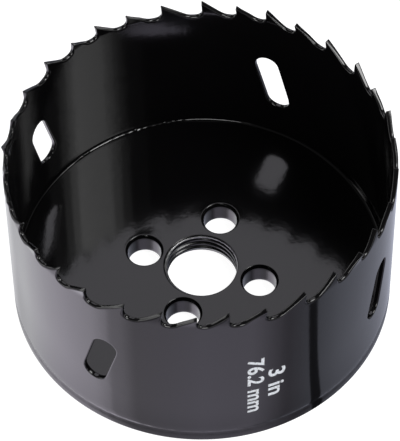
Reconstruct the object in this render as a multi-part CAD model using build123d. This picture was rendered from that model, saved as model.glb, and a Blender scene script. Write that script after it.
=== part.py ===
"""Bi-metal hole saw for a 3 inch hole, standing on its base with the teeth up.

A strip of spring steel with a high-speed-steel edge is toothed, punched, rolled into a ring and
butt-welded. The ring sits over the spigot of a turned base plate and is welded round its foot.

Units are millimetres and degrees. +Z runs from the base to the teeth, and the origin is the
centre of the base. Angles run counter-clockwise seen from the teeth, which is the way it cuts.
"""
import os
from math import cos, degrees, pi, radians, sin, tan

from build123d import *

# Rolled band
BODY_DIAMETER = 75.6
WALL = 1.0
OVERALL_HEIGHT = 41.9

# Teeth, measured along the outside of the strip. The pitches run from one raker to the next.
TOOTH_PITCHES = (7.4, 6.65, 6.15, 7.0, 8.15)
SEAM_PITCH = 5.7
SET_PATTERN = (0, -1, 1, -1, 1)
SET_OFFSET = 0.33
BEND_DEPTH = 2.1
EDGE_STRIP_DEPTH = 1.3
TIP_LAND = 0.15
FACE_RAKE = 3.0
BACK_ANGLE = 34.0
GULLET_DEPTH_PER_PITCH = 0.43
HEEL_RADIUS_PER_PITCH = 0.17
SWEEP_RADIUS_PER_PITCH = 0.4

# Butt weld that closes the ring
SEAM_ANGLE = -162.3
SEAM_WIDTH = 0.8

# Plug ejection slots, punched in the strip before it is rolled
SLOT_ANGLES = (-121.3, -26.7, 66.4, 148.1)
SLOT_LENGTH = 14.7
SLOT_WIDTH = 4.9
SLOT_TILT = 15.0
SLOT_CENTRE_HEIGHT = 20.9

# Base plate
PLATE_THICKNESS = 5.2
FLANGE_THICKNESS = 2.85
SPIGOT_CLEARANCE = 0.05
SPIGOT_CHAMFER = 0.5
FOOT_CHAMFER = 0.3

# Arbor fittings: a 5/8-18 UNF thread, left at its minor diameter, and the drive pin holes
THREAD_MINOR_DIAMETER = 14.4
THREAD_CHAMFER_WIDTH = 0.8
THREAD_CHAMFER_DEPTH = 0.45
PIN_HOLE_COUNT = 4
PIN_HOLE_DIAMETER = 6.7
PIN_CIRCLE_DIAMETER = 24.2
PIN_HOLE_CHAMFER = 0.3
FIRST_PIN_ANGLE = 71.5

# Round weld that joins the band to the plate
WELD_GROOVE = 0.5
WELD_SINK = 0.12

# Cutters pass this far beyond the metal they cut
OVERCUT = 1.5

# Sizes that follow from those above
BODY_RADIUS = BODY_DIAMETER / 2
INNER_RADIUS = BODY_RADIUS - WALL
BEND_HEIGHT = OVERALL_HEIGHT - BEND_DEPTH
EDGE_STRIP_HEIGHT = OVERALL_HEIGHT - EDGE_STRIP_DEPTH
TOOTH_COUNT = round(pi * BODY_DIAMETER * len(TOOTH_PITCHES) / sum(TOOTH_PITCHES))


def group_place(tooth):
    """Place of a tooth in its group: 0 is the raker. The strip starts just after a raker."""
    return (tooth + 1) % len(TOOTH_PITCHES)


def pitch_angles():
    """Angle from each tooth to the next. The last spans the seam, and together they close."""
    pitches = [TOOTH_PITCHES[group_place(tooth)] for tooth in range(TOOTH_COUNT - 1)]
    pitches.append(SEAM_PITCH)
    return [360 * pitch / sum(pitches) for pitch in pitches]


def chord(angle):
    """Width, on the plane that touches the outside of the band, of what spans an angle."""
    return 2 * BODY_RADIUS * tan(radians(angle) / 2)


def gullet_depth(width):
    return GULLET_DEPTH_PER_PITCH * width


def floor_length(width):
    """Level floor of a gullet, before its corners are rounded."""
    return width - TIP_LAND - gullet_depth(width) / tan(radians(BACK_ANGLE))


def floor_middle_angle(pitch_angle):
    """Angle from a tip to the middle of the gullet floor ahead of it."""
    return degrees(floor_length(chord(pitch_angle)) / 2 / BODY_RADIUS)


PITCH_ANGLES = pitch_angles()
FIRST_TIP_ANGLE = SEAM_ANGLE - floor_middle_angle(PITCH_ANGLES[-1]) + PITCH_ANGLES[-1]
TIP_ANGLES = [FIRST_TIP_ANGLE + sum(PITCH_ANGLES[:tooth]) for tooth in range(TOOTH_COUNT)]


def radial_plane(angle, radius, height):
    """Plane that faces outwards: its x runs along the band and its y runs up."""
    turn = radians(angle)
    outwards = Vector(cos(turn), sin(turn), 0)
    origin = outwards * radius + Vector(0, 0, height)
    return Plane(origin=origin, x_dir=(-sin(turn), cos(turn), 0), z_dir=outwards)


def revolved(outline, start=0.0, sweep=360.0):
    """Solid that a closed outline of (radius, height) points or edges makes about Z."""
    section = Plane.XZ * make_face(outline)
    return Rot(0, 0, start) * revolve(section, Axis.Z, sweep)


def gullet_section(width):
    """Space between two teeth: upright face, rounded heel, floor, long sweep up the back."""
    depth = gullet_depth(width)
    face_top = -width / 2
    face_foot = face_top - depth * tan(radians(FACE_RAKE))
    back_foot = face_top + floor_length(width)
    back_top = width / 2 - TIP_LAND
    outline = Polyline(
        (face_top, OVERCUT), (face_top, 0), (face_foot, -depth),
        (back_foot, -depth), (back_top, 0), (back_top, OVERCUT), close=True,
    )
    section = make_face(outline)
    heel = section.vertices().group_by(Axis.Y)[0].sort_by(Axis.X)[0]
    section = fillet(heel, HEEL_RADIUS_PER_PITCH * width)
    sweep = section.vertices().sort_by_distance((back_foot, -depth))[0]
    return fillet(sweep, SWEEP_RADIUS_PER_PITCH * width)


def gullet_cutter(tooth):
    """Cutter ahead of a tooth. It narrows towards the axis, so that every face is radial."""
    angle = TIP_ANGLES[tooth] + PITCH_ANGLES[tooth] / 2
    section = gullet_section(chord(PITCH_ANGLES[tooth]))
    sections = []
    for radius in (BODY_RADIUS + OVERCUT, INNER_RADIUS - OVERCUT):
        share = radius / BODY_RADIUS
        sections.append(radial_plane(angle, radius, OVERALL_HEIGHT) * scale(section, by=share))
    return loft(sections)


def tooth_blank(tooth, bottom, top):
    """Sector of the ring round one tooth, leaning in or out by the tooth's set."""
    lean = SET_PATTERN[group_place(tooth)] * SET_OFFSET / BEND_DEPTH
    low_shift = lean * (bottom - BEND_HEIGHT)
    high_shift = lean * (top - BEND_HEIGHT)
    outline = Polyline(
        (INNER_RADIUS + low_shift, bottom), (BODY_RADIUS + low_shift, bottom),
        (BODY_RADIUS + high_shift, top), (INNER_RADIUS + high_shift, top), close=True,
    )
    before = PITCH_ANGLES[tooth - 1]
    start = TIP_ANGLES[tooth] - before + floor_middle_angle(before)
    end = TIP_ANGLES[tooth] + floor_middle_angle(PITCH_ANGLES[tooth])
    return revolved(outline, start, end - start)


def seam_gap():
    """Upright gap between the two ends of the strip."""
    gap = Box(2 * WALL + 2 * OVERCUT, SEAM_WIDTH, 2 * OVERALL_HEIGHT)
    return Rot(0, 0, SEAM_ANGLE) * Pos(BODY_RADIUS - WALL / 2, 0, 0) * gap


def slot_cutter(angle):
    """Round-ended slot whose top leans the way the saw turns."""
    section = SlotOverall(SLOT_LENGTH, SLOT_WIDTH, rotation=90 - SLOT_TILT)
    plane = radial_plane(angle, INNER_RADIUS - OVERCUT, SLOT_CENTRE_HEIGHT)
    return extrude(plane * section, WALL + 2 * OVERCUT)


def plain_band():
    """Ring from the flange up to the bend of the teeth, bevelled outside for the round weld."""
    outline = Polyline(
        (INNER_RADIUS, FLANGE_THICKNESS),
        (BODY_RADIUS - WELD_GROOVE, FLANGE_THICKNESS),
        (BODY_RADIUS, FLANGE_THICKNESS + WELD_GROOVE),
        (BODY_RADIUS, BEND_HEIGHT), (INNER_RADIUS, BEND_HEIGHT), close=True,
    )
    return revolved(outline)


def make_band(gullets):
    """The rolled strip below the edge strip: gullets, slots and open ends at the seam."""
    blanks = [tooth_blank(tooth, BEND_HEIGHT, EDGE_STRIP_HEIGHT) for tooth in range(TOOTH_COUNT)]
    slots = [slot_cutter(angle) for angle in SLOT_ANGLES]
    return plain_band() + blanks - gullets - slots - seam_gap()


def make_tooth_tips(gullets):
    """What is left of the high-speed-steel edge: one tip on each tooth."""
    tips = []
    for tooth in range(TOOTH_COUNT):
        blank = tooth_blank(tooth, EDGE_STRIP_HEIGHT, OVERALL_HEIGHT)
        tips.append(blank - gullets[tooth - 1] - gullets[tooth])
    return Compound(children=tips)


def make_seam_weld(gullets):
    """Butt weld between the strip's ends, dressed flush with the band."""
    return (plain_band() & seam_gap()) - gullets[-1]


def bevelled_hole(radius, chamfer_width, chamfer_depth):
    """Cutter for a hole through the plate that is chamfered on both faces."""
    mouth = radius + chamfer_width
    outline = Polyline(
        (0, -OVERCUT), (mouth, -OVERCUT), (mouth, 0), (radius, chamfer_depth),
        (radius, PLATE_THICKNESS - chamfer_depth), (mouth, PLATE_THICKNESS),
        (mouth, PLATE_THICKNESS + OVERCUT), (0, PLATE_THICKNESS + OVERCUT), close=True,
    )
    return revolved(outline)


def make_base_plate():
    """Turned plate: flange under the band, spigot inside it, tapped centre and drive pin holes."""
    spigot_radius = INNER_RADIUS - SPIGOT_CLEARANCE
    plate = revolved(Polyline(
        (0, 0), (BODY_RADIUS - FOOT_CHAMFER, 0), (BODY_RADIUS, FOOT_CHAMFER),
        (BODY_RADIUS, FLANGE_THICKNESS - WELD_GROOVE),
        (BODY_RADIUS - WELD_GROOVE, FLANGE_THICKNESS), (spigot_radius, FLANGE_THICKNESS),
        (spigot_radius, PLATE_THICKNESS - SPIGOT_CHAMFER),
        (spigot_radius - SPIGOT_CHAMFER, PLATE_THICKNESS), (0, PLATE_THICKNESS), close=True,
    ))
    centre_hole = bevelled_hole(
        THREAD_MINOR_DIAMETER / 2, THREAD_CHAMFER_WIDTH, THREAD_CHAMFER_DEPTH,
    )
    pin_hole = bevelled_hole(PIN_HOLE_DIAMETER / 2, PIN_HOLE_CHAMFER, PIN_HOLE_CHAMFER)
    circle = PolarLocations(PIN_CIRCLE_DIAMETER / 2, PIN_HOLE_COUNT, start_angle=FIRST_PIN_ANGLE)
    return plate - centre_hole - [place * pin_hole for place in circle]


def make_base_weld():
    """Weld bead in the groove between band and flange, a little below their surface."""
    face_radius = BODY_RADIUS - WELD_SINK
    half_height = WELD_GROOVE - WELD_SINK
    return revolved(Polyline(
        (BODY_RADIUS - WELD_GROOVE, FLANGE_THICKNESS),
        (face_radius, FLANGE_THICKNESS - half_height),
        (face_radius, FLANGE_THICKNESS + half_height), close=True,
    ))


def main():
    gullets = [gullet_cutter(tooth) for tooth in range(TOOTH_COUNT)]
    nodes = {
        "band": make_band(gullets),
        "tooth_tips": make_tooth_tips(gullets),
        "seam_weld": make_seam_weld(gullets),
        "base_plate": make_base_plate(),
        "base_weld": make_base_weld(),
    }
    os.makedirs("parts", exist_ok=True)
    for name, shape in nodes.items():
        export_step(shape, f"parts/{name}.step")


main()
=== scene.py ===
"""A painted hole saw on a pale table: its finish, thread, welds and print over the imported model.

Sizes are in millimetres and angles in radians, unless a name or a comment says otherwise. Places
are turned into metres as a mesh is made.
"""
from math import cos, pi, radians, sin, tan

import bmesh
import bpy
import numpy as np
from mathutils import Matrix, Vector


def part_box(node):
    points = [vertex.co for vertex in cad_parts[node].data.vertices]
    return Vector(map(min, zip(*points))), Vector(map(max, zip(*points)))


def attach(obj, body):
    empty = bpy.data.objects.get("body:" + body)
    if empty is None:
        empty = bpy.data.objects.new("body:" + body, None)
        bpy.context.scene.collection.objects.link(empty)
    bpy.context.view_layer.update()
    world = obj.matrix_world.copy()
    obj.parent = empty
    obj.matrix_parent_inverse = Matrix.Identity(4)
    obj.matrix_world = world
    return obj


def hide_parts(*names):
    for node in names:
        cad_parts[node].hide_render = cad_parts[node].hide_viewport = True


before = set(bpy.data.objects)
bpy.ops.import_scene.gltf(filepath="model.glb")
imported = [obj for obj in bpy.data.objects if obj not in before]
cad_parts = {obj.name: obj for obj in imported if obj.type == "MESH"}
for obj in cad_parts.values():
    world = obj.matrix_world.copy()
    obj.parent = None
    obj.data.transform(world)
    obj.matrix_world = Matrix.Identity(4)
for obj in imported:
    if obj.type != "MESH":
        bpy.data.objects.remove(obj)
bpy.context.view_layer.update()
MM = 0.001


# ---------------------------------------------------------------------------------------------
# Base plate. Turned from steel bar, drilled for the drive pins and tapped for the arbor, then
# dipped in black enamel with the rest. The enamel rounds its edges and softens the thread.

PLATE_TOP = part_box("base_plate")[1].z / MM
BODY_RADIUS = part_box("base_plate")[1].x / MM
WALL = 1.0
SPIGOT_CLEARANCE = 0.05
SPIGOT_RADIUS = BODY_RADIUS - WALL - SPIGOT_CLEARANCE
SPIGOT_ROUNDING = 0.5
FLANGE_TOP = 2.85
FOOT_ROUNDING = 0.35
WELD_GROOVE = 0.5
PIN_CIRCLE_RADIUS = 12.1
PIN_HOLE_RADIUS = 3.35
PIN_HOLES = 4
FIRST_PIN_ANGLE = radians(71.5)
HUB_RADIUS = 7.95
PIN_FIELD_RADIUS = 17.0
PLATE_STEPS = 240
SPOKE_STEPS = 6

# Thread, 5/8-18 UNF. The shares of its crest and its flank are of the pitch.
THREAD_PITCH = 25.4 / 18
THREAD_CREST_RADIUS = 6.94
THREAD_DEPTH = 0.6
THREAD_CREST_HEIGHT = 0.80
CREST_SHARE = 0.12
FLANK_SHARE = 0.30
THREAD_ROW = 0.06
MOUTH_RADIUS = 7.47
MOUTH_DEPTH = 0.62
MOUTH_OFF_CENTRE = 0.22
MOUTH_START = 0.04
LEAD_IN_START = 0.7
BARE_SHARE = 0.6
BARE_DEPTH_SHARE = 0.9
FOOT_DEPTH = 1.3
FOOT_LIP = 0.08

# Lip of the mouth's enamel, as (distance out from the mouth's edge, height over the face)
MOUTH_LIP = ((0.14, 0.0), (0.06, -0.01))


def on_cylinder(angle, radius, height):
    """Points in metres at radius * (cos angle, sin angle) and height. The inputs are in mm."""
    angle, radius, height = np.broadcast_arrays(angle, radius, height)
    return np.stack([radius * np.cos(angle), radius * np.sin(angle), height], -1) * MM


def quarter_round(start, corner, end, steps):
    """Quarter of an ellipse: corner + (start - corner)(1 - sin t) + (end - corner)(1 - cos t)."""
    start, corner, end = (np.array(point, float) for point in (start, corner, end))
    t = np.linspace(0, pi / 2, steps).reshape(-1, *[1] * start.ndim)
    return corner + (start - corner) * (1 - np.sin(t)) + (end - corner) * (1 - np.cos(t))


def sheet_faces(rows, columns, first):
    """Corner numbers of every quad of a grid whose rows close on themselves."""
    number = first + np.arange(rows * columns).reshape(rows, columns)
    number = np.concatenate([number, number[:, :1]], 1)
    return np.stack([number[:-1, :-1], number[1:, :-1], number[1:, 1:], number[:-1, 1:]], -1)


def skin(name, grids, left_out=None):
    """Closed mesh from grids of points (rows, columns, 3) whose rows close on themselves.

    `left_out` marks the quads of the first grid whose place another grid takes. Where the grids
    meet they share places, so doubles are merged, and the faces are then turned outwards.
    """
    points, faces, first = [], [], 0
    for grid in grids:
        rows, columns = grid.shape[:2]
        quads = sheet_faces(rows, columns, first)
        if first == 0 and left_out is not None:
            quads = quads[~left_out]
        points.append(grid.reshape(-1, 3))
        faces.append(quads.reshape(-1, 4))
        first += rows * columns
    mesh = bpy.data.meshes.new(name)
    mesh.from_pydata(np.concatenate(points), [], np.concatenate(faces))
    built = bmesh.new()
    built.from_mesh(mesh)
    bmesh.ops.remove_doubles(built, verts=built.verts, dist=0.0005 * MM)
    bmesh.ops.recalc_face_normals(built, faces=built.faces)
    built.to_mesh(mesh)
    built.free()
    mesh.shade_smooth()
    mesh.set_sharp_from_angle(angle=radians(40))
    piece = bpy.data.objects.new(name, mesh)
    bpy.context.scene.collection.objects.link(piece)
    return piece


def ring_around_hole(boundary, centre, half_length, direction, radius, reach):
    """Loops around a round or round-ended hole, one point for each point of a boundary.

    The hole's middle line runs half_length either way from its centre. Each boundary point looks
    at the nearest point of that line, and its loops cross this ray at radius + reach.
    """
    along = np.clip((boundary - centre) @ direction, -half_length, half_length)
    middle = centre + along[:, None] * direction
    ray = boundary - middle
    ray = ray / np.linalg.norm(ray, axis=1, keepdims=True)
    return middle[None] + (radius + np.array(reach))[:, None, None] * ray[None]


plate_angles = FIRST_PIN_ANGLE - pi / PIN_HOLES + np.arange(PLATE_STEPS) * 2 * pi / PLATE_STEPS

# Outside the pin holes the plate is one turned profile of (radius, height)
plate_profile = np.concatenate([
    # Upper face, with two rings that keep its faces short, and the spigot's round edge
    [(PIN_FIELD_RADIUS, PLATE_TOP), (24, PLATE_TOP), (31, PLATE_TOP)],
    [(SPIGOT_RADIUS - 2 * SPIGOT_ROUNDING, PLATE_TOP)],
    quarter_round((SPIGOT_RADIUS - SPIGOT_ROUNDING, PLATE_TOP), (SPIGOT_RADIUS, PLATE_TOP),
                  (SPIGOT_RADIUS, PLATE_TOP - SPIGOT_ROUNDING), 7),
    # Down the spigot, out along the flange under the band, and over the flange's soft shoulder
    [(SPIGOT_RADIUS, FLANGE_TOP + 0.3), (SPIGOT_RADIUS, FLANGE_TOP)],
    [(BODY_RADIUS - WELD_GROOVE, FLANGE_TOP)],
    quarter_round((BODY_RADIUS - 0.3, FLANGE_TOP - 0.3), (BODY_RADIUS - 0.12, FLANGE_TOP - 0.45),
                  (BODY_RADIUS - 0.03, FLANGE_TOP - 0.95), 6),
    [(BODY_RADIUS, FLANGE_TOP - 1.6), (BODY_RADIUS, FOOT_ROUNDING + 0.3)],
    # Round the foot and back along the underside
    quarter_round((BODY_RADIUS, FOOT_ROUNDING), (BODY_RADIUS, 0),
                  (BODY_RADIUS - FOOT_ROUNDING, 0), 6),
    [(BODY_RADIUS - 1.2, 0), (30, 0), (PIN_FIELD_RADIUS, 0)],
])
plate_rim = on_cylinder(plate_angles[None], plate_profile[:, :1], plate_profile[:, 1:])

# Edge of a pin hole, as (distance out from the hole, height over the face): the enamel's fat
# edge stands a little proud, and a steep deburred cone leads down to the wall
PIN_EDGE = np.array([
    (0.74, 0.0), (0.62, 0.010), (0.50, 0.008), (0.42, -0.02), (0.35, -0.09), (0.24, -0.25),
    (0.13, -0.41), (0.05, -0.55), (0.0, -0.70), (0.0, -1.3),
])


def pin_hole(index):
    """Quarter of the plate's middle: both faces and the wall of one drive pin hole."""
    quarter = PLATE_STEPS // PIN_HOLES
    sector = (FIRST_PIN_ANGLE + (index - 0.5) * 2 * pi / PIN_HOLES
              + np.linspace(0, 1, quarter + 1) * 2 * pi / PIN_HOLES)
    spoke = np.linspace(PIN_FIELD_RADIUS, HUB_RADIUS, SPOKE_STEPS + 1)
    radius = np.concatenate([np.full(quarter, PIN_FIELD_RADIUS), spoke[:-1],
                             np.full(quarter, HUB_RADIUS), spoke[::-1][:-1]])
    angle = np.concatenate([sector[:-1], np.full(SPOKE_STEPS, sector[-1]), sector[::-1][:-1],
                            np.full(SPOKE_STEPS, sector[0])])
    boundary = np.stack([radius * np.cos(angle), radius * np.sin(angle)], -1)
    place = FIRST_PIN_ANGLE + index * 2 * pi / PIN_HOLES
    centre = PIN_CIRCLE_RADIUS * np.array([cos(place), sin(place)])
    rounded = ring_around_hole(boundary, centre, 0, np.array([1.0, 0.0]), PIN_HOLE_RADIUS,
                               PIN_EDGE[:, 0])
    share = np.array([0, 0.35, 0.65])[:, None, None]
    loops = np.concatenate([boundary + (rounded[0] - boundary) * share, rounded])
    height = np.concatenate([np.zeros(len(share)), PIN_EDGE[:, 1]])
    height = height[:, None] * np.ones(len(boundary))
    upper = np.concatenate([loops, (PLATE_TOP + height)[..., None]], -1)
    lower = np.concatenate([loops, -height.clip(max=0)[..., None]], -1)[::-1]
    return np.concatenate([upper, lower]) * MM


# Cone of the thread's mouth, as (depth below the face, share of its width left at that depth)
MOUTH_CONE = np.array([
    (0.0, 1.0), (0.03, 0.88), (0.10, 0.78), (0.20, 0.70), (0.28, 0.62), (0.39, 0.42), (0.51, 0.21),
    (MOUTH_DEPTH, 0.0),
])

# The thread rises one pitch a turn: radius = crest + depth * smoothstep(distance from the crest's
# flat), where the distance is that of height / pitch - turns to the nearest whole number. A cone
# with a round shoulder cuts it back at both faces, and the upper mouth is a little off centre.
thread_rows = round(PLATE_TOP / THREAD_ROW) + 1
thread_height = np.linspace(PLATE_TOP - MOUTH_START, 0, thread_rows)[:, None]
turns = plate_angles[None] / (2 * pi)
phase = (thread_height - THREAD_CREST_HEIGHT) / THREAD_PITCH - turns
from_crest = np.abs(phase - np.round(phase))
flank = np.clip((from_crest - CREST_SHARE) / FLANK_SHARE, 0, 1)
thread_radius = THREAD_CREST_RADIUS + THREAD_DEPTH * flank * flank * (3 - 2 * flank)
from_face = np.minimum(thread_height * MOUTH_DEPTH / FOOT_DEPTH, PLATE_TOP - thread_height)
mouth_edge = MOUTH_RADIUS - MOUTH_OFF_CENTRE * np.cos(plate_angles)
mouth_share = np.interp(from_face, MOUTH_CONE[:, 0], MOUTH_CONE[:, 1])
lead_in = (from_face / MOUTH_DEPTH - LEAD_IN_START).clip(0, 1)
thread_radius = THREAD_CREST_RADIUS + (thread_radius - THREAD_CREST_RADIUS) * lead_in
thread_radius = thread_radius + (mouth_edge - THREAD_CREST_RADIUS) * mouth_share
thread_wall = on_cylinder(plate_angles[None], thread_radius, thread_height)
hub_top = np.stack([
    on_cylinder(plate_angles, HUB_RADIUS, PLATE_TOP),
    *(on_cylinder(plate_angles, mouth_edge + out, PLATE_TOP + up) for out, up in MOUTH_LIP),
])
hub_foot = np.stack([
    on_cylinder(plate_angles, mouth_edge + FOOT_LIP, 0),
    on_cylinder(plate_angles, HUB_RADIUS, 0),
])
hub = np.concatenate([hub_top, thread_wall, hub_foot])

pin_holes = [pin_hole(index) for index in range(PIN_HOLES)]
painted_plate = skin("painted_base_plate", [plate_rim, hub] + pin_holes)
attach(painted_plate, "root")
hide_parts("base_plate")


def shader_group(name, inputs, outputs):
    """New node group with the named sockets, and its input and output nodes."""
    group = bpy.data.node_groups.new(name, "ShaderNodeTree")
    for label, kind, value in inputs:
        socket = group.interface.new_socket(label, in_out="INPUT", socket_type=kind)
        socket.default_value = value
    for label, kind in outputs:
        group.interface.new_socket(label, in_out="OUTPUT", socket_type=kind)
    return group, group.nodes.new("NodeGroupInput"), group.nodes.new("NodeGroupOutput")


def math_node(nodes, operation, first, second, links):
    """Math node whose two inputs are sockets or plain numbers. Returns its output."""
    node = nodes.new("ShaderNodeMath")
    node.operation = operation
    for socket, value in zip(node.inputs, (first, second)):
        if isinstance(value, (int, float)):
            socket.default_value = value
        else:
            links.new(value, socket)
    return node.outputs[0]


def map_range(nodes, links, value, given, result, interpolation="SMOOTHSTEP"):
    """Value taken from the range `given` to the range `result`, and held beyond its ends."""
    node = nodes.new("ShaderNodeMapRange")
    node.interpolation_type = interpolation
    names = ("From Min", "From Max", "To Min", "To Max")
    for label, number in zip(names, (*given, *result)):
        node.inputs[label].default_value = number
    links.new(value, node.inputs["Value"])
    return node.outputs[0]


def two_tone(nodes, links, value, low, high):
    """Colour that runs between two stops, each a position and a colour."""
    node = nodes.new("ShaderNodeValToRGB")
    for element, (position, colour) in zip(node.color_ramp.elements, (low, high)):
        element.position = position
        element.color = (*colour, 1)
    links.new(value, node.inputs[0])
    return node.outputs["Color"]


def new_material(name):
    """New material, its nodes, its links and its Principled shader."""
    material = bpy.data.materials.new(name)
    material.use_nodes = True
    nodes, links = material.node_tree.nodes, material.node_tree.links
    return material, nodes, links, nodes["Principled BSDF"]


def noise(nodes, links, where, scale, detail):
    """Noise texture on Object coordinates, with `scale` cells to the metre. Returns its value."""
    node = nodes.new("ShaderNodeTexNoise")
    node.inputs["Scale"].default_value = scale
    node.inputs["Detail"].default_value = detail
    links.new(where, node.inputs["Vector"])
    return node.outputs["Fac"]


def enamel_group():
    """Dipped enamel: ripples and orange peel in mm, upright streaks, dust nibs and haze.

    Bump height = ripple * noise + peel * fine noise + streak * stretched noise + nibs.
    """
    group, given, out = shader_group(
        "dipped_enamel",
        [("Roughness", "NodeSocketFloat", 0.08),
         ("Ripple", "NodeSocketFloat", 0.01),
         ("Peel", "NodeSocketFloat", 0.006),
         ("Streak", "NodeSocketFloat", 0.0)],
        [("Colour", "NodeSocketColor"), ("Roughness", "NodeSocketFloat"),
         ("Normal", "NodeSocketVector")])
    nodes, links = group.nodes, group.links
    where = nodes.new("ShaderNodeTexCoord").outputs["Object"]
    stretched = nodes.new("ShaderNodeVectorMath")
    stretched.operation = "MULTIPLY"
    stretched.inputs[1].default_value = (1, 1, 0.04)
    links.new(where, stretched.inputs[0])

    dust = nodes.new("ShaderNodeTexVoronoi")
    dust.inputs["Scale"].default_value = 130
    links.new(where, dust.inputs["Vector"])
    nib = map_range(nodes, links, dust.outputs["Distance"], (0, 0.05), (0.006, 0), "LINEAR")

    height = math_node(nodes, "MULTIPLY", noise(nodes, links, where, 480, 3.0),
                       given.outputs["Ripple"], links)
    fine = math_node(nodes, "MULTIPLY", noise(nodes, links, where, 900, 2.0),
                     given.outputs["Peel"], links)
    streak = math_node(nodes, "MULTIPLY", noise(nodes, links, stretched.outputs[0], 420, 2.0),
                       given.outputs["Streak"], links)
    for part in (fine, streak, nib):
        height = math_node(nodes, "ADD", height, part, links)
    bump = nodes.new("ShaderNodeBump")
    bump.inputs["Distance"].default_value = MM
    links.new(height, bump.inputs["Height"])
    links.new(bump.outputs["Normal"], out.inputs["Normal"])

    smudge = noise(nodes, links, where, 60, 4.0)
    haze = math_node(nodes, "MULTIPLY", smudge, 0.05, links)
    links.new(math_node(nodes, "ADD", given.outputs["Roughness"], haze, links),
              out.inputs["Roughness"])

    thin = nodes.new("ShaderNodeMix")
    thin.data_type = "RGBA"
    thin.inputs["A"].default_value = (0.0018, 0.0017, 0.0021, 1)
    thin.inputs["B"].default_value = (0.006, 0.0055, 0.0055, 1)
    links.new(math_node(nodes, "MULTIPLY", smudge, 0.3, links), thin.inputs["Factor"])
    links.new(thin.outputs["Result"], out.inputs["Colour"])
    return group


ENAMEL = enamel_group()


def enamel(name, roughness, ripple, peel, streak):
    """Black enamel material: the shared film group feeding a plain glossy Principled shader."""
    material, nodes, links, shader = new_material(name)
    shader.inputs["IOR"].default_value = 1.5
    film = nodes.new("ShaderNodeGroup")
    film.node_tree = ENAMEL
    film.inputs["Roughness"].default_value = roughness
    film.inputs["Ripple"].default_value = ripple
    film.inputs["Peel"].default_value = peel
    film.inputs["Streak"].default_value = streak
    for made, taken in (("Colour", "Base Color"), ("Roughness", "Roughness"), ("Normal", "Normal")):
        links.new(film.outputs[made], shader.inputs[taken])
    return material


painted_plate.data.materials.append(
    enamel("plate_enamel", roughness=0.08, ripple=0.014, peel=0.008, streak=0.0))
painted_plate.data.materials.append(
    enamel("thread_enamel", roughness=0.18, ripple=0.02, peel=0.03, streak=0.0))

# The mouth of the thread is rubbed to bare steel: fine turned rings, speckled light and dark
steel, nodes, links, shader = new_material("mouth_steel")
shader.inputs["Metallic"].default_value = 1.0
where = nodes.new("ShaderNodeTexCoord").outputs["Object"]
speckle = noise(nodes, links, where, 1400, 3.0)
tone = two_tone(nodes, links, speckle, (0.30, (0.36, 0.36, 0.365)), (0.70, (0.78, 0.78, 0.79)))
links.new(tone, shader.inputs["Base Color"])
rough = math_node(nodes, "MULTIPLY", speckle, 0.2, links)
links.new(math_node(nodes, "ADD", rough, 0.34, links), shader.inputs["Roughness"])
ring = nodes.new("ShaderNodeVectorMath")
ring.operation = "MULTIPLY"
ring.inputs[1].default_value = (0.05, 0.05, 1)
links.new(where, ring.inputs[0])
rings = nodes.new("ShaderNodeBump")
rings.inputs["Distance"].default_value = 0.02 * MM
links.new(noise(nodes, links, ring.outputs[0], 9000, 2.0), rings.inputs["Height"])
links.new(rings.outputs["Normal"], shader.inputs["Normal"])
painted_plate.data.materials.append(steel)

# The faces inside the hub take the thread's rougher enamel. The mouth's cone is bare from below
# its round shoulder, where BARE_SHARE of its width is left, nearly down to its end.
face_centres = np.empty(len(painted_plate.data.polygons) * 3)
painted_plate.data.polygons.foreach_get("center", face_centres)
face_centres = face_centres.reshape(-1, 3) / MM
face_radius = np.hypot(face_centres[:, 0], face_centres[:, 1])
in_hub = face_radius < MOUTH_RADIUS + 0.2
bare_top = PLATE_TOP - np.interp(BARE_SHARE, MOUTH_CONE[::-1, 1], MOUTH_CONE[::-1, 0])
bare_foot = PLATE_TOP - BARE_DEPTH_SHARE * MOUTH_DEPTH
in_cone = (face_centres[:, 2] < bare_top) & (face_centres[:, 2] > bare_foot)
face_finish = (in_hub.astype(int) + (in_hub & in_cone)).astype(np.int32)
painted_plate.data.polygons.foreach_set("material_index", face_finish)


# ---------------------------------------------------------------------------------------------
# Band. A strip of spring steel with a high-speed-steel edge: toothed, set, punched with four
# slots, rolled into a ring and butt-welded. The enamel blunts the tips and rounds every edge.

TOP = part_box("tooth_tips")[1].z / MM
INNER_RADIUS = BODY_RADIUS - WALL
CIRCUMFERENCE = 2 * pi * BODY_RADIUS
TOOTH_PITCHES = (7.4, 6.65, 6.15, 7.0, 8.15)
SEAM_PITCH = 5.7
TEETH = 34
SET_PATTERN = (0, -1, 1, -1, 1)
SET_OFFSET = 0.33
BEND_DEPTH = 2.1
BEND_SOFTNESS = 0.3
TIP_LAND = 0.15
FACE_RAKE = radians(3)
BACK_ANGLE = radians(34)
GULLET_DEPTH_PER_PITCH = 0.43
HEEL_RADIUS_PER_PITCH = 0.17
SWEEP_RADIUS_PER_PITCH = 0.4
PAINTED_TIP_RADIUS = 0.15
SEAM_ANGLE = radians(-162.3)
ARC_STEPS = 8
STRAIGHT_STEPS = 3
EDGE_STEPS = 6
BELOW_TEETH = TOP - 4.4
NEAR_EDGE = 1.4

# Rounding of the cut edge along one tooth, as (step, mm), and how much wider it is outside
EDGE_ROUNDING = np.array([
    (0, 0.13), (3.5, 0.10), (7, 0.13), (10, 0.26), (14, 0.44), (24, 0.46), (29, 0.33),
    (31, 0.28), (33, 0.13),
])
WIDER_OUTSIDE = np.array([(0, 0.0), (24, 0.0), (29, 0.08), (32, 0.22), (33, 0.0)])

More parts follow.
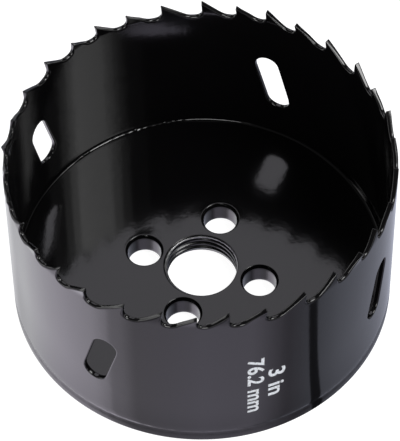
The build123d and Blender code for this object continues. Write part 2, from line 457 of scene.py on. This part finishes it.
SLOT_ANGLES = np.radians([-121.3, -26.7, 66.4, 148.1])
SLOT_HALF_LENGTH = 7.35
SLOT_RADIUS = 2.45
SLOT_TILT = radians(15)
SLOT_HEIGHT = 20.9
SLOT_EDGE_ROUNDING = 0.25
SLOT_PANEL_HALF_WIDTH = 6.4
SLOT_PANEL_HALF_HEIGHT = 9.6
SLOT_PANEL_ROWS = 9
ABOVE_PANELS = (34.0,)
BELOW_PANELS = (7.0, 4.8, 4.2)

# Outside of the band's foot, as (distance in from the body, height over the flange)
FOOT_PROFILE = np.array([
    (WELD_GROOVE, 0.0), (0.24, 0.10), (0.09, 0.17), (0.035, 0.30), (0.02, 0.55), (0.01, 1.0),
])

place = (np.arange(TEETH) + 1) % len(TOOTH_PITCHES)
pitch = np.array(TOOTH_PITCHES)[place]
pitch[-1] = SEAM_PITCH
pitch = pitch * CIRCUMFERENCE / pitch.sum()
depth = GULLET_DEPTH_PER_PITCH * pitch
floor_length = pitch - TIP_LAND - depth / tan(BACK_ANGLE)
first_tip = SEAM_ANGLE * BODY_RADIUS - floor_length[-1] / 2 + pitch[-1]
tip = first_tip + np.concatenate([[0], np.cumsum(pitch)[:-1]])
tooth_set = np.array(SET_PATTERN)[place]

# Corners of the unrolled edge, three for each tooth: tip, heel of the gullet, foot of the back
apex_rise = TIP_LAND * tan(BACK_ANGLE) / (1 - tan(FACE_RAKE) * tan(BACK_ANGLE))
corner = np.stack([
    np.stack([tip + apex_rise * tan(FACE_RAKE), np.full(TEETH, TOP + apex_rise)], -1),
    np.stack([tip - depth * tan(FACE_RAKE), TOP - depth], -1),
    np.stack([tip + floor_length, TOP - depth], -1),
], 1).reshape(-1, 2)
corner_radius = np.stack([
    np.full(TEETH, PAINTED_TIP_RADIUS),
    HEEL_RADIUS_PER_PITCH * pitch,
    SWEEP_RADIUS_PER_PITCH * pitch,
], 1).reshape(-1)
leaving = np.roll(corner, -1, 0) - corner
leaving[-1, 0] += CIRCUMFERENCE
heading_out = np.arctan2(leaving[:, 1], leaving[:, 0])
heading_in = np.roll(heading_out, 1)
turn = (heading_out - heading_in + pi) % (2 * pi) - pi


def left_of(heading):
    """Unit vector to the left of a heading, which is the open side of the strip's edge."""
    return np.stack([-np.sin(heading), np.cos(heading)], -1)


# Each corner is an arc, centre + side * radius * left(heading), and a straight run follows it
side = -np.sign(turn)
cut_back = corner_radius * np.tan(np.abs(turn) / 2)
towards = np.stack([np.cos(heading_in), np.sin(heading_in)], -1)
arc_start = corner - cut_back[:, None] * towards
centre = arc_start - (side * corner_radius)[:, None] * left_of(heading_in)
heading = heading_in[:, None] + turn[:, None] * np.linspace(0, 1, ARC_STEPS)
arc = centre[:, None] + (side * corner_radius)[:, None, None] * left_of(heading)
run_end = np.roll(arc[:, 0], -1, 0)
run_end[-1, 0] += CIRCUMFERENCE
share = np.linspace(0, 1, STRAIGHT_STEPS + 2)[1:-1][None, :, None]
run = arc[:, -1:] * (1 - share) + run_end[:, None] * share
edge = np.concatenate([arc, run], 1).reshape(-1, 2)
edge_heading = np.concatenate([heading, np.repeat(heading[:, -1:], STRAIGHT_STEPS, 1)], 1)
edge_left = left_of(edge_heading).reshape(-1, 2)
columns = len(edge)
per_tooth = columns // TEETH
column_set = np.stack([tooth_set, tooth_set, np.roll(tooth_set, -1)], 1)
column_set = np.repeat(column_set.reshape(-1), ARC_STEPS + STRAIGHT_STEPS)

# The enamel draws back from the sharp tips and gathers in the gullets, so the rounding of the
# cut edge grows from tip to heel. On teeth set inwards it is wider outside, near the tip.
steps_of_tooth = np.arange(per_tooth)
edge_rounding = np.interp(steps_of_tooth, EDGE_ROUNDING[:, 0], EDGE_ROUNDING[:, 1])
wider_outside = np.interp(steps_of_tooth, WIDER_OUTSIDE[:, 0], WIDER_OUTSIDE[:, 1])
set_inwards = np.roll(tooth_set, -1) == -1
outer_rounding = (edge_rounding + set_inwards[:, None] * wider_outside).reshape(-1)
inner_rounding = np.tile(edge_rounding, TEETH)

# Below the teeth the columns are spread more evenly, halfway between their place on the edge
# and their share of its length, counted from one gullet heel to the next
closed_edge = np.concatenate([edge, edge[:1] + [CIRCUMFERENCE, 0]])
step = np.linalg.norm(np.diff(closed_edge, axis=0), axis=1)
travelled = np.concatenate([[0], np.cumsum(step)[:-1]])
heel = np.arange(TEETH) * per_tooth + ARC_STEPS + STRAIGHT_STEPS + ARC_STEPS // 2


def with_neighbours(values, once_around):
    """Values at the heels, led by the last a turn back and followed by the first a turn on."""
    return np.concatenate([values[-1:] - once_around, values, values[:1] + once_around])


heel_travel = with_neighbours(travelled[heel], step.sum())
heel_place = with_neighbours(edge[heel, 0], CIRCUMFERENCE)
column_place = (edge[:, 0] + np.interp(travelled, heel_travel, heel_place)) / 2


def set_lean(height):
    """Sideways shift of a set tooth: none below the bend, then in line with the height."""
    above = height - (TOP - BEND_DEPTH)
    eased = (above + BEND_SOFTNESS).clip(0, 2 * BEND_SOFTNESS) ** 2 / (4 * BEND_SOFTNESS)
    return SET_OFFSET / BEND_DEPTH * np.where(above > BEND_SOFTNESS, above, eased)


def strip_points(along, height, radius):
    """Strip rolled up: angle = along / outer radius, and set teeth lean with their height."""
    return on_cylinder(along / BODY_RADIUS, radius + column_set * set_lean(height), height)


def edge_rows():
    """Rows from below the teeth up the outside, over the rounded edge and down the inside.

    On each side the rows run from the level line below the teeth to a line near the edge, which
    is NEAR_EDGE roundings in, by shares of the way: point = level * (1 - share) + line * share.
    """
    rows = []
    rounding = np.linspace(0, pi / 2, EDGE_STEPS)[:, None]
    outside = WALL / 2 - outer_rounding * (1 - np.cos(rounding))
    inside = WALL / 2 - inner_rounding * (1 - np.cos(rounding))
    middle = (outside[-1:] - inside[-1:]) / 2
    across = np.concatenate([outside, middle, -inside[::-1]])
    inset = np.concatenate([outer_rounding * (1 - np.sin(rounding)), 0 * middle,
                            (inner_rounding * (1 - np.sin(rounding)))[::-1]])
    middle_radius = BODY_RADIUS - WALL / 2
    sides = ((BODY_RADIUS, 1, outer_rounding), (INNER_RADIUS, -1, inner_rounding))
    for radius, order, widest in sides:
        line = edge - NEAR_EDGE * widest[:, None] * edge_left
        share = np.array([0, 0.13, 0.26, 0.38, 0.5, 0.6, 0.7, 0.8, 0.9, 1])[::order, None]
        along = column_place * (1 - share) + line[:, 0] * share
        height = BELOW_TEETH * (1 - share) + line[:, 1] * share
        rows.append(strip_points(along, height, radius))
    line = edge[None] - inset[..., None] * edge_left[None]
    over = strip_points(line[..., 0], line[..., 1], middle_radius + across)
    return np.concatenate([rows[0], over, rows[1]])


panel_heights = np.linspace(SLOT_HEIGHT + SLOT_PANEL_HALF_HEIGHT,
                            SLOT_HEIGHT - SLOT_PANEL_HALF_HEIGHT, SLOT_PANEL_ROWS + 1)
wall_heights = np.concatenate([ABOVE_PANELS, panel_heights, BELOW_PANELS])
wall_angle = column_place / BODY_RADIUS
outer_wall = on_cylinder(wall_angle[None], BODY_RADIUS, wall_heights[::-1, None])
inner_wall = on_cylinder(wall_angle[None], INNER_RADIUS, wall_heights[:, None])
foot_radius = np.append(INNER_RADIUS, BODY_RADIUS - FOOT_PROFILE[:, 0])[:, None]
foot_height = np.append(FLANGE_TOP, FLANGE_TOP + FOOT_PROFILE[:, 1])[:, None]
foot = on_cylinder(wall_angle[None], foot_radius, foot_height)
rim = edge_rows()
band_grid = np.concatenate([foot, outer_wall, rim, inner_wall, foot[:1]])

# Quads of the wall where each slot's panel goes, on the outside and on the inside
outer_first = len(foot) + len(BELOW_PANELS)
inner_first = len(foot) + len(outer_wall) + len(rim) + len(ABOVE_PANELS)
slot_mask = np.zeros((len(band_grid) - 1, columns), bool)
slot_columns = []
for angle in SLOT_ANGLES:
    offset = column_place - angle * BODY_RADIUS
    offset = (offset + CIRCUMFERENCE / 2) % CIRCUMFERENCE - CIRCUMFERENCE / 2
    inside = np.where(np.abs(offset) < SLOT_PANEL_HALF_WIDTH)[0]
    inside = inside[np.argsort(offset[inside])]
    slot_columns.append(inside)
    for first in (outer_first, inner_first):
        slot_mask[first:first + SLOT_PANEL_ROWS, inside[:-1]] = True


def slot_panel(angle, picked):
    """Panel of the wall with one slot in it: outer face, rounded edges, slot wall, inner face.

    Its outline runs once around as (angle from the slot, height over the slot's centre). Loops
    lead in from it by shares of the way, and then follow the slot's edge at a set inset.
    """
    bend = wall_angle[picked] - angle
    bend = (bend + pi) % (2 * pi) - pi
    tall = panel_heights - SLOT_HEIGHT
    wide, high = len(bend) - 1, SLOT_PANEL_ROWS
    turn_angle = np.concatenate([bend[:-1], np.full(high, bend[-1]),
                                 bend[::-1][:-1], np.full(high, bend[0])])
    rise = np.concatenate([np.full(wide, tall[0]), tall[:-1],
                           np.full(wide, tall[-1]), tall[::-1][:-1]])
    direction = np.array([sin(SLOT_TILT), cos(SLOT_TILT)])
    rounding = np.linspace(0, pi / 2, 5)
    flat = [1.2, 0.6, SLOT_EDGE_ROUNDING + 0.1]
    inset = np.concatenate([flat, SLOT_EDGE_ROUNDING * (1 - np.sin(rounding))])
    drop = np.concatenate([np.zeros(len(flat)), SLOT_EDGE_ROUNDING * (1 - np.cos(rounding))])
    loops = []
    for radius, sink, order in ((BODY_RADIUS, drop, 1), (INNER_RADIUS, -drop, -1)):
        boundary = np.stack([radius * np.sin(turn_angle), rise], -1)
        half = SLOT_HALF_LENGTH - SLOT_RADIUS
        rings = ring_around_hole(boundary, np.zeros(2), half, direction, SLOT_RADIUS, inset)
        depth_of = (radius - sink)[:, None]
        lean = np.arcsin(rings[..., 0] / depth_of)
        face = on_cylinder(angle + lean, depth_of, SLOT_HEIGHT + rings[..., 1])
        share = np.array([0, 0.25, 0.48, 0.70, 0.86])[:, None]
        between = turn_angle + (lean[:1] - turn_angle) * share
        rise_between = rise + (rings[:1, :, 1] - rise) * share
        sheet = on_cylinder(angle + between, radius, SLOT_HEIGHT + rise_between)
        loops.append(np.concatenate([sheet, face])[::order])
    return np.concatenate(loops)


panels = [slot_panel(angle, picked) for angle, picked in zip(SLOT_ANGLES, slot_columns)]
painted_band = skin("painted_toothed_band", [band_grid] + panels, left_out=slot_mask)
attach(painted_band, "root")
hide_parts("band", "tooth_tips", "seam_weld")
painted_band.data.materials.append(
    enamel("band_enamel", roughness=0.06, ripple=0.004, peel=0.005, streak=0.006))


# ---------------------------------------------------------------------------------------------
# Round weld. A shallow bead run round the joint between band and base plate, brushed and then
# painted over, so that only a soft hollow with a slightly uneven line is left.

WELD_STEPS = 720
weld_angle = np.arange(WELD_STEPS) * 2 * pi / WELD_STEPS
weld_waves = 0.10 * np.sin(97 * weld_angle) + 0.08 * np.sin(61 * weld_angle + 1.0)

# Outline of the painted weld, as (height, hollow under the body's surface)
weld_profile = np.array([
    (3.15, 0.030), (3.00, 0.050), (2.88, 0.075), (2.76, 0.092), (2.64, 0.098), (2.50, 0.095),
    (2.30, 0.080), (2.05, 0.056), (1.80, 0.033), (1.50, 0.014), (1.25, 0.0),
])
weld_radius = BODY_RADIUS - weld_profile[:, 1:] * (1 + weld_waves)
weld_face = on_cylinder(weld_angle[None], weld_radius, weld_profile[:, :1])
weld_back = on_cylinder(weld_angle[None], BODY_RADIUS - WELD_GROOVE, np.array([[FLANGE_TOP]]))
weld = skin("painted_round_weld", [np.concatenate([weld_back, weld_face, weld_back])])
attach(weld, "root")
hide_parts("base_weld")
weld.data.materials.append(
    enamel("weld_enamel", roughness=0.14, ripple=0.03, peel=0.01, streak=0.0))


# ---------------------------------------------------------------------------------------------
# Pooled enamel. Drained after dipping, the enamel gathers in the corner inside the cup and fills
# the joint there with a small hollow fillet, ragged at the back and broken at one place.

POOL_STEPS = 1080
POOL_ROWS = 9
POOL_WIDTH = 0.62
POOL_HEIGHT = 0.55

pool_angle = np.arange(POOL_STEPS) * 2 * pi / POOL_STEPS
pool_degrees = np.degrees(pool_angle)


def swell(middle, half_width):
    """Bell curve around the rim: exp(-(degrees from the middle / half width) ** 2)."""
    away = (pool_degrees - middle + 180) % 360 - 180
    return np.exp(-(away / half_width) ** 2)


# Size of the fillet around the cup: slow waves, a ragged stretch, one break and three beads
waves = 0.08 * np.sin(3 * pool_angle + 1.0) + 0.05 * np.sin(11 * pool_angle)
ragged = swell(106, 22) * (0.10 * np.sin(83 * pool_angle) + 0.08 * np.sin(139 * pool_angle + 2.0))
broken = 0.9 * swell(130.3, 4.6) ** 2
wide = 0.5 + 0.65 * swell(22, 42)
pool_size = wide * (1 + waves + ragged) * (1 - broken)
pool_size += 0.2 * swell(128, 0.5) + 0.15 * swell(131.2, 0.45) + 0.35 * swell(110.8, 0.6)
pool_size = pool_size.clip(0.1, 1.6)

# Hollow section from the plate up to the wall, halfway between a quarter of an ellipse and its
# chord, and closed behind
pool_start = np.stack([INNER_RADIUS - POOL_WIDTH * pool_size, np.full(POOL_STEPS, PLATE_TOP)], -1)
pool_end = np.stack([np.full(POOL_STEPS, INNER_RADIUS), PLATE_TOP + POOL_HEIGHT * pool_size], -1)
pool_corner = np.array([INNER_RADIUS, PLATE_TOP])
pool_arc = quarter_round(pool_start, pool_corner, pool_end, POOL_ROWS)
pool_chord = pool_start + (pool_end - pool_start) * np.linspace(0, 1, POOL_ROWS)[:, None, None]
pool_face = (pool_arc + pool_chord) / 2
behind = np.array([(INNER_RADIUS + 0.01, PLATE_TOP - 0.02), (INNER_RADIUS - 0.04, PLATE_TOP - 0.3)])
behind = np.broadcast_to(behind[:, None], (len(behind), POOL_STEPS, 2))
section = np.concatenate([pool_face, behind, pool_face[:1]])
pool = skin("pooled_enamel", [on_cylinder(pool_angle[None], section[..., 0], section[..., 1])])
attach(pool, "root")
pool.data.materials.append(
    enamel("pool_enamel", roughness=0.08, ripple=0.01, peel=0.004, streak=0.0))


# ---------------------------------------------------------------------------------------------
# Size mark. White ink, pad-printed on the painted wall beside a slot: the cutting diameter in
# inches and in millimetres, in two lines that read downwards.

INK_THICKNESS = 0.02
INK_GAP = 0.003

# In the font's own units, where a numeral is about 0.7 high
BOLDNESS = 0.022
STRIP_EDGES = np.linspace(0.06, 0.66, 9)


def size_mark(name, words, letter_height, line_length, line_start, line_angle):
    """Printed line wrapped on the wall: angle = line angle + y / radius, height = start - x.

    The letters are drawn flat, stretched to the line's length and letter height, cut in strips
    so that they follow the wall, and then wrapped.
    """
    curve = bpy.data.curves.new(name, "FONT")
    curve.body = words
    curve.offset = BOLDNESS
    curve.extrude = 0.05
    curve.resolution_u = 6
    letters = bpy.data.objects.new(name + "_flat", curve)
    bpy.context.scene.collection.objects.link(letters)
    bpy.context.view_layer.update()
    mesh = bpy.data.meshes.new_from_object(letters)
    mesh.name = name
    bpy.data.objects.remove(letters)
    cut = bmesh.new()
    cut.from_mesh(mesh)
    bmesh.ops.remove_doubles(cut, verts=cut.verts, dist=1e-5)
    for level in STRIP_EDGES:
        everything = cut.verts[:] + cut.edges[:] + cut.faces[:]
        bmesh.ops.bisect_plane(cut, geom=everything, plane_co=(0, level, 0), plane_no=(0, 1, 0))
    cut.to_mesh(mesh)
    cut.free()
    flat = np.empty(len(mesh.vertices) * 3)
    mesh.vertices.foreach_get("co", flat)
    flat = flat.reshape(-1, 3)
    low, high = flat.min(0), flat.max(0)
    across = (flat[:, 1] - low[1]) / (high[1] - low[1]) * letter_height
    along = (flat[:, 0] - low[0]) / (high[0] - low[0]) * line_length
    raised = BODY_RADIUS + (flat[:, 2] > 0) * INK_THICKNESS + INK_GAP
    wrapped = on_cylinder(line_angle + across / BODY_RADIUS, raised, line_start - along)
    mesh.vertices.foreach_set("co", wrapped.reshape(-1))
    mesh.update()
    piece = bpy.data.objects.new(name, mesh)
    bpy.context.scene.collection.objects.link(piece)
    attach(piece, "root")
    return piece


# The ink lies thin over the gloss, so that its white is grained with grey
ink, nodes, links, shader = new_material("white_ink")
shader.inputs["IOR"].default_value = 1.45
where = nodes.new("ShaderNodeTexCoord").outputs["Object"]
grain = noise(nodes, links, where, 3000, 3.0)
cover = two_tone(nodes, links, grain, (0.28, (0.30, 0.30, 0.30)), (0.46, (0.84, 0.87, 0.92)))
links.new(cover, shader.inputs["Base Color"])
rough = math_node(nodes, "MULTIPLY", grain, 0.3, links)
links.new(math_node(nodes, "ADD", rough, 0.3, links), shader.inputs["Roughness"])
bump = nodes.new("ShaderNodeBump")
bump.inputs["Strength"].default_value = 0.3
bump.inputs["Distance"].default_value = 0.01 * MM
links.new(grain, bump.inputs["Height"])
links.new(bump.outputs["Normal"], shader.inputs["Normal"])

inches = size_mark("size_mark_inches", "3 in", 3.5, 9.0, 21.5, radians(-71.0))
millimetres = size_mark("size_mark_millimetres", "76.2 mm", 3.4, 18.0, 26.4, radians(-77.3))
inches.data.materials.append(ink)
millimetres.data.materials.append(ink)


# ---------------------------------------------------------------------------------------------
# Table. A sheet of matt white paper under the saw, lit until it looks plain white. Glossy rays
# pass through it, so that the painted wall mirrors the light panels around and below it, darkened
# by a painted contact shadow at the saw's foot and by a painted shadow strip.

CONTACT_SHADE_START = 37.4
CONTACT_SHADE_END = 46.0
SHADOW_START = (25.4, -32.0)
SHADOW_ANGLE = radians(-23.9)
SHADOW_EDGE = (1.0, 1.55)
SHADOW_GROWTH = 0.042
SHADOW_FADE = (30, 60)
SHADOW_BEHIND = -8

bpy.ops.mesh.primitive_plane_add(size=20, location=(0, 0, -0.02 * MM))
table = bpy.context.object
table.name = "table"
paper, nodes, links, paper_diffuse = new_material("table_paper")
paper_diffuse.inputs["Base Color"].default_value = (0.35, 0.35, 0.35, 1)
paper_diffuse.inputs["Roughness"].default_value = 1.0
paper_diffuse.inputs["Specular IOR Level"].default_value = 0.0
paper_glow = nodes.new("ShaderNodeEmission")
light_path = nodes.new("ShaderNodeLightPath")
seen = math_node(nodes, "MAXIMUM", light_path.outputs["Is Camera Ray"],
                 light_path.outputs["Is Transmission Ray"], links)
links.new(math_node(nodes, "MULTIPLY", seen, 0.96, links), paper_glow.inputs["Strength"])
both = nodes.new("ShaderNodeAddShader")
links.new(paper_diffuse.outputs[0], both.inputs[0])
links.new(paper_glow.outputs[0], both.inputs[1])

# What glossy rays see is darkened by painted shade: a painted contact shadow near the saw's foot
# and one narrow painted shadow strip, whose X runs outwards and whose Y runs across it:
# shade = max(across, along, behind) * painted_contact_shade
ground = nodes.new("ShaderNodeTexCoord").outputs["Object"]
radial = nodes.new("ShaderNodeVectorMath")
radial.operation = "LENGTH"
links.new(ground, radial.inputs[0])
# Painted contact shadow: glossy rays are dimmed to 0.82 at the saw's foot, and not at all further
# out
painted_contact_shade = map_range(nodes, links, radial.outputs["Value"],
                    (CONTACT_SHADE_START * MM, CONTACT_SHADE_END * MM), (0.82, 1.0))
# Painted shadow strip: a narrow wedge that runs outwards from SHADOW_START, dimmed to 0.11 in its
# middle
shadow = nodes.new("ShaderNodeMapping")
shadow.vector_type = "TEXTURE"
shadow.inputs["Location"].default_value = (SHADOW_START[0] * MM, SHADOW_START[1] * MM, 0)
shadow.inputs["Rotation"].default_value = (0, 0, SHADOW_ANGLE)
links.new(ground, shadow.inputs["Vector"])
parts = nodes.new("ShaderNodeSeparateXYZ")
links.new(shadow.outputs["Vector"], parts.inputs[0])
half_width = math_node(nodes, "MULTIPLY", parts.outputs["X"], SHADOW_GROWTH, links)
across = math_node(nodes, "ABSOLUTE", parts.outputs["Y"], 0, links)
across = math_node(nodes, "SUBTRACT", across, half_width, links)
across = map_range(nodes, links, across, (SHADOW_EDGE[0] * MM, SHADOW_EDGE[1] * MM), (0.11, 1.0))
along = map_range(nodes, links, parts.outputs["X"],
                  (SHADOW_FADE[0] * MM, SHADOW_FADE[1] * MM), (0, 1), "LINEAR")
behind = math_node(nodes, "LESS_THAN", parts.outputs["X"], SHADOW_BEHIND * MM, links)
shade = math_node(nodes, "MAXIMUM", across, along, links)
shade = math_node(nodes, "MAXIMUM", shade, behind, links)
shade = math_node(nodes, "MULTIPLY", shade, painted_contact_shade, links)
window = nodes.new("ShaderNodeBsdfTransparent")
links.new(shade, window.inputs["Color"])
by_ray = nodes.new("ShaderNodeMixShader")
links.new(light_path.outputs["Is Glossy Ray"], by_ray.inputs[0])
links.new(both.outputs[0], by_ray.inputs[1])
links.new(window.outputs[0], by_ray.inputs[2])
links.new(by_ray.outputs[0], nodes["Material Output"].inputs["Surface"])
table.data.materials.append(paper)


# ---------------------------------------------------------------------------------------------
# Surroundings. A white studio seen only in reflections: panels of light below the horizon, a
# low band of light off the far end of the paper, and a dim room above. The camera sees white.

LEFT_TINT = (1.055, 1.0, 1.14)
FRONT_TINT = (1.055, 1.0, 1.21)
RIGHT_TINT = (0.965, 1.0, 1.20)
BACK_TINT = (1.0, 1.0, 1.045)
LIGHT_PANELS = (
    (-180, 1.60, LEFT_TINT), (-161, 1.68, LEFT_TINT), (-151, 1.40, LEFT_TINT),
    (-148, 0.98, LEFT_TINT), (-141, 0.96, LEFT_TINT), (-132, 0.66, LEFT_TINT),
    (-90, 0.81, FRONT_TINT), (-60, 0.73, FRONT_TINT), (-44, 0.39, FRONT_TINT),
    (-37, 0.25, FRONT_TINT), (-18, 0.35, RIGHT_TINT), (0, 0.44, RIGHT_TINT),
    (46, 0.48, RIGHT_TINT), (66, 0.55, RIGHT_TINT), (78, 0.64, RIGHT_TINT),
    (100, 0.89, BACK_TINT), (122, 0.88, BACK_TINT), (138, 1.28, BACK_TINT),
    (180, 1.60, LEFT_TINT),
)

world = bpy.data.worlds.new("studio")
bpy.context.scene.world = world
world.use_nodes = True
nodes, links = world.node_tree.nodes, world.node_tree.links
sky = nodes.new("ShaderNodeTexCoord").outputs["Generated"]
split = nodes.new("ShaderNodeSeparateXYZ")
links.new(sky, split.inputs[0])
azimuth = math_node(nodes, "ARCTAN2", split.outputs["Y"], split.outputs["X"], links)
turned = math_node(nodes, "ADD", math_node(nodes, "DIVIDE", azimuth, 2 * pi, links), 0.5, links)

# Panels, as their azimuth in degrees, their level and their tint. Blender sorts the stops of a
# ramp by position, so all the places are set before any colour.
panels_below = nodes.new("ShaderNodeValToRGB")
links.new(turned, panels_below.inputs[0])
stops = panels_below.color_ramp.elements
while len(stops) < len(LIGHT_PANELS):
    stops.new(0.5)
for stop, (angle, level, tint) in zip(stops, LIGHT_PANELS):
    stop.position = angle / 360 + 0.5
for stop, (angle, level, tint) in zip(stops, LIGHT_PANELS):
    stop.color = (*(level * share for share in tint), 1)

# The lit paper ends near the saw, so the panels fade towards the horizon, where the band starts
fade = map_range(nodes, links, split.outputs["Z"], (-0.77, -0.30), (1.0, 0.4))
faded = nodes.new("ShaderNodeVectorMath")
faded.operation = "SCALE"
links.new(panels_below.outputs["Color"], faded.inputs[0])
links.new(fade, faded.inputs["Scale"])
above = map_range(nodes, links, split.outputs["Z"], (0.05, 0.34), (1.5, 0.07))


def mixed(factor, first, second):
    """Colour `first` where the factor is 0 and `second` where it is 1."""
    node = nodes.new("ShaderNodeMix")
    node.data_type = "RGBA"
    links.new(factor, node.inputs["Factor"])
    links.new(first, node.inputs["A"])
    if isinstance(second, tuple):
        node.inputs["B"].default_value = second
    else:
        links.new(second, node.inputs["B"])
    return node.outputs["Result"]


is_below = math_node(nodes, "LESS_THAN", split.outputs["Z"], 0.0, links)
mirrored = mixed(is_below, above, faded.outputs[0])
by_camera = nodes.new("ShaderNodeLightPath").outputs["Is Camera Ray"]
links.new(mixed(by_camera, mirrored, (1, 1, 1, 1)), nodes["Background"].inputs["Color"])
nodes["Background"].inputs["Strength"].default_value = 1.0


# ---------------------------------------------------------------------------------------------
# Softboxes. Oval fabric-fronted lamps about a metre away: the key from the right, one behind,
# a wide low one at the left and a small one in front. The camera doesn't see them.

AIM_HEIGHT = 20


def softbox(name, azimuth_angle, elevation, distance, width, height, radiance):
    """Elliptical lamp that faces the saw's middle. Its power is radiance * area * pi.

    Its azimuth and elevation are in degrees, and its distance and size in metres.
    """
    lamp = bpy.data.lights.new(name, "AREA")
    lamp.shape = "ELLIPSE"
    lamp.size = width
    lamp.size_y = height
    lamp.energy = radiance * (width * height * pi / 4) * pi
    box = bpy.data.objects.new(name, lamp)
    bpy.context.scene.collection.objects.link(box)
    a, e = radians(azimuth_angle), radians(elevation)
    towards_box = Vector((cos(a) * cos(e), sin(a) * cos(e), sin(e)))
    box.location = towards_box * distance + Vector((0, 0, AIM_HEIGHT * MM))
    box.rotation_euler = towards_box.to_track_quat("Z", "Y").to_euler()
    box.visible_camera = False
    return box


# The key light is four lamps behind each other, so that its edge is soft
softbox("key_softbox_1", -17.5, 54, 1.00, 0.27, 0.45, 4.6)
softbox("key_softbox_2", -17.5, 54, 1.01, 0.40, 0.55, 3.9)
softbox("key_softbox_3", -17.5, 54, 1.02, 0.54, 0.65, 1.9)
softbox("key_softbox_4", -17.5, 54, 1.03, 0.85, 0.80, 0.4)
back_box = softbox("back_softbox", 90, 56, 1.0, 0.62, 0.8, 1.18)
back_box.data.color = (1.02, 1.0, 1.08)
softbox("left_softbox", 172, 18, 1.0, 1.35, 0.36, 1.6)
softbox("front_softbox", -95, 30, 1.0, 0.52, 0.50, 6.0)


# ---------------------------------------------------------------------------------------------
# Camera. A long lens in front of the saw and above it, looking down over the near wall into the
# cup, with a slight roll.

CAMERA_PLACE = (0.0, -0.3469, 0.5043)
CAMERA_YAW = -0.0007
CAMERA_PITCH = 0.9487
CAMERA_ROLL = -0.0137

camera = bpy.data.objects.new("camera", bpy.data.cameras.new("camera"))
bpy.context.scene.collection.objects.link(camera)
camera.data.sensor_width = 36
camera.data.lens = 248
camera.data.clip_start = 0.01
camera.data.clip_end = 50
forward = Vector((sin(CAMERA_YAW) * cos(CAMERA_PITCH), cos(CAMERA_YAW) * cos(CAMERA_PITCH),
                  -sin(CAMERA_PITCH)))
right = Vector((cos(CAMERA_YAW), -sin(CAMERA_YAW), 0))
up = right.cross(forward)
rolled_right = right * cos(CAMERA_ROLL) + up * sin(CAMERA_ROLL)
rolled_up = up * cos(CAMERA_ROLL) - right * sin(CAMERA_ROLL)
turned_axes = Matrix((rolled_right, rolled_up, -forward)).transposed()
camera.matrix_world = Matrix.Translation(CAMERA_PLACE) @ turned_axes.to_4x4()
bpy.context.scene.camera = camera
bpy.context.scene.view_settings.view_transform = "Standard"
